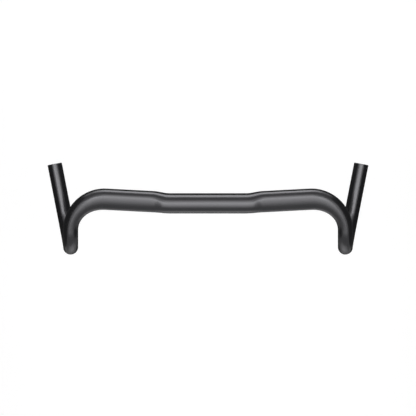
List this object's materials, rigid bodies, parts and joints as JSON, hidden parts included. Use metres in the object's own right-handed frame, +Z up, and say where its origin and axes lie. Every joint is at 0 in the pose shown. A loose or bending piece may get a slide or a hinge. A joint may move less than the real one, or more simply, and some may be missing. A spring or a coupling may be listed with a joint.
{
  "type": "drop handlebar",
  "caption": "Drop handlebar with a round stem clamp part, flattened swept tops, short forward hooks that flare outward, and straight lower grips with open ends.",
  "frame": {"origin": "middle of the round stem clamp part, on its axis", "axes": "+X along the stem clamp axis to the rider's right, +Y back towards the rider, +Z up, in the riding position"},
  "size_m": [0.5256, 0.149, 0.1428],
  "materials": {
    "black_alloy": "satin black anodised over a fine blasted surface"
  },
  "bodies": {
    "root": {"handlebar": "black_alloy"}
  },
  "joints": []
}
